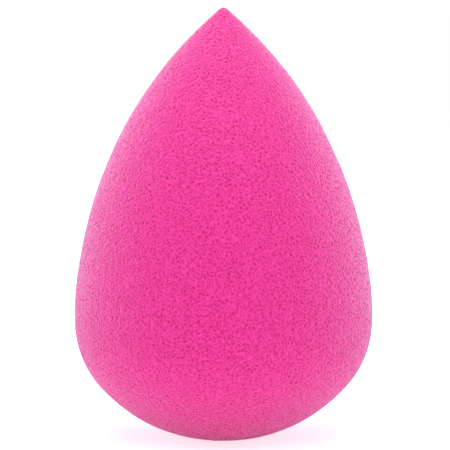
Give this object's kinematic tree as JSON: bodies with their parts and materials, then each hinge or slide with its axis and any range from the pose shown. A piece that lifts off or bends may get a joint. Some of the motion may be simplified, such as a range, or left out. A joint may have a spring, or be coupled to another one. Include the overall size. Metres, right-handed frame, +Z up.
{
  "type": "makeup sponge",
  "caption": "Teardrop makeup sponge of fine open-cell foam, with a round base to dab with and a soft pointed tip that leans over and springs back.",
  "frame": {"origin": "middle of the flattened patch that the sponge stands on", "axes": "+Z up along the sponge's axis to its point, +X to the right and -Y towards the viewer of the picture"},
  "size_m": [0.0412, 0.0412, 0.06],
  "materials": {
    "foam": "matt, dyed hot pink, fine open-cell foam"
  },
  "bodies": {
    "body": {"sponge_body": "foam"},
    "tip": {"sponge_tip": "foam"}
  },
  "joints": [
    {"name": "tip_bend", "type": "hinge", "parent": "body", "child": "tip", "pos_m": [0, 0, 0.02399], "axis": [0, 1, 0], "range_deg": [-30, 30], "stiffness_Nm_per_rad": 0.05}
  ]
}
